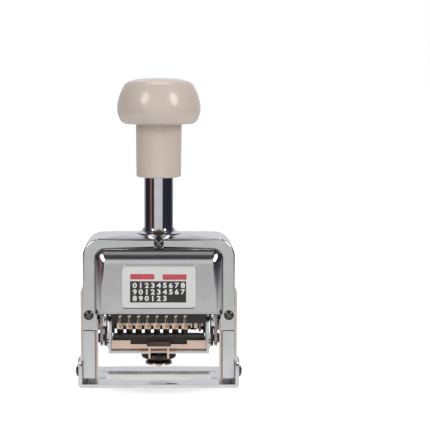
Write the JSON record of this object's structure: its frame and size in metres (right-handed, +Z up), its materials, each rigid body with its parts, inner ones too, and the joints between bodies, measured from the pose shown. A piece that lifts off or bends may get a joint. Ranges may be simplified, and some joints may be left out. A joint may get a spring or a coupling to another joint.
{
  "type": "numbering machine",
  "caption": "Hand-operated automatic numbering stamp: beige knob on a sprung plunger, metal shell, row of number wheels, swinging ink pad and a standing base with a window.",
  "frame": {"origin": "middle of the underside of the base strap", "axes": "+X to the right seen from the front, +Y to the rear, +Z up along the plunger"},
  "size_m": [0.0722, 0.036, 0.1317],
  "materials": {
    "shell_chrome": "bright, lightly brushed",
    "base_chrome": "bright",
    "post_metal": "satin",
    "bar_metal": "satin",
    "black_screw": "black oxide, glossy",
    "neck_chrome": "mirror",
    "cover_chrome": "mirror",
    "plate_white": "satin",
    "beige_plastic": "gloss",
    "bush_brass": "turned",
    "lock_bronze": "dark",
    "spring_steel": "bright",
    "rod_steel": "ground",
    "black_steel": "satin black",
    "rose_brass": "rose gold, satin",
    "hanger_metal": "satin",
    "dark_pin": "satin",
    "copper_tray": "copper plated",
    "ink_felt": "inked felt",
    "spool_black": "satin black",
    "frame_chrome": "bright",
    "dial_brass": "satin"
  },
  "bodies": {
    "frame": {"base_plate": "base_chrome", "left_post": "post_metal", "right_post": "post_metal", "left_side_bar": "bar_metal", "right_side_bar": "bar_metal", "base_screws": "black_screw", "frame_shell": "shell_chrome", "neck_collar": "neck_chrome", "neck_tube": "neck_chrome", "guide_bush": "bush_brass", "front_cover": "cover_chrome", "name_plate": "plate_white", "front_screws": "black_screw", "rear_cover": "cover_chrome", "rear_screws": "black_screw", "left_hanger": "hanger_metal", "right_hanger": "hanger_metal", "swing_pins": "dark_pin", "hanger_screws": "dark_pin", "lock_spring": "spring_steel", "selector_dial": "dial_brass"},
    "head": {"knob_cap": "beige_plastic", "knob_ring": "beige_plastic", "knob_sleeve": "beige_plastic", "plunger_rod": "rod_steel", "rod_nut": "dark_pin", "main_spring": "spring_steel", "head_bridge": "black_steel", "left_cheek": "black_steel", "right_cheek": "black_steel", "tie_rods": "rod_steel", "wheel_shaft": "rod_steel", "shaft_screws": "black_screw", "guard_bar": "black_steel", "detent_comb": "rose_brass", "wheel_spacer": "dark_pin"},
    "lock": {"lock_button": "lock_bronze", "lock_pin": "rod_steel"},
    "selector": {"selector_pointer": "rod_steel"},
    "feed": {"feed_yoke": "black_steel", "pawl_rod": "rod_steel", "feed_pawls": "rose_brass"},
    "pad_carriage": {"pad_frame": "frame_chrome", "pad_tray": "copper_tray", "ink_pad": "ink_felt", "pad_nut": "dark_pin", "pad_clip": "copper_tray", "clip_pin": "dial_brass", "pad_spool": "spool_black"},
    "wheel_1": {"number_wheel_1": "rose_brass"},
    "wheel_2": {"number_wheel_2": "rose_brass"},
    "wheel_3": {"number_wheel_3": "rose_brass"},
    "wheel_4": {"number_wheel_4": "rose_brass"},
    "wheel_5": {"number_wheel_5": "rose_brass"},
    "wheel_6": {"number_wheel_6": "rose_brass"},
    "wheel_7": {"number_wheel_7": "rose_brass"},
    "wheel_8": {"number_wheel_8": "rose_brass"}
  },
  "joints": [
    {"name": "plunger_slide", "type": "slide", "parent": "frame", "child": "head", "axis": [0, 0, -1], "range_m": [0, 0.02], "stiffness_N_per_m": 1000, "springref_m": -0.01, "deforming": ["main_spring"]},
    {"name": "pad_swing", "type": "hinge", "parent": "head", "child": "pad_carriage", "pos_m": [0, 0, 0.0285], "axis": [1, 0, 0], "range_deg": [0, 120]},
    {"name": "feed_swing", "type": "hinge", "parent": "head", "child": "feed", "pos_m": [0, 0, 0.0285], "axis": [-1, 0, 0], "range_deg": [0, 40]},
    {"name": "lock_slide", "type": "slide", "parent": "frame", "child": "lock", "axis": [0, 1, 0], "range_m": [0, 0.0015], "stiffness_N_per_m": 300, "springref_m": -0.002, "deforming": ["lock_spring"]},
    {"name": "selector_turn", "type": "hinge", "parent": "frame", "child": "selector", "pos_m": [0, 0.0145, 0.046], "axis": [0, 1, 0], "range_deg": [-135, 135]},
    {"name": "wheel_1_turn", "type": "hinge", "parent": "head", "child": "wheel_1", "pos_m": [0, 0, 0.0285], "axis": [1, 0, 0], "continuous": true},
    {"name": "wheel_2_turn", "type": "hinge", "parent": "head", "child": "wheel_2", "pos_m": [0, 0, 0.0285], "axis": [1, 0, 0], "continuous": true},
    {"name": "wheel_3_turn", "type": "hinge", "parent": "head", "child": "wheel_3", "pos_m": [0, 0, 0.0285], "axis": [1, 0, 0], "continuous": true},
    {"name": "wheel_4_turn", "type": "hinge", "parent": "head", "child": "wheel_4", "pos_m": [0, 0, 0.0285], "axis": [1, 0, 0], "continuous": true},
    {"name": "wheel_5_turn", "type": "hinge", "parent": "head", "child": "wheel_5", "pos_m": [0, 0, 0.0285], "axis": [1, 0, 0], "continuous": true},
    {"name": "wheel_6_turn", "type": "hinge", "parent": "head", "child": "wheel_6", "pos_m": [0, 0, 0.0285], "axis": [1, 0, 0], "continuous": true},
    {"name": "wheel_7_turn", "type": "hinge", "parent": "head", "child": "wheel_7", "pos_m": [0, 0, 0.0285], "axis": [1, 0, 0], "continuous": true},
    {"name": "wheel_8_turn", "type": "hinge", "parent": "head", "child": "wheel_8", "pos_m": [0, 0, 0.0285], "axis": [1, 0, 0], "continuous": true}
  ],
  "couplings": [
    {"joint": "pad_swing", "follows": "plunger_slide", "rad_per_m": 104.72},
    {"joint": "feed_swing", "follows": "plunger_slide", "rad_per_m": 34.906}
  ]
}
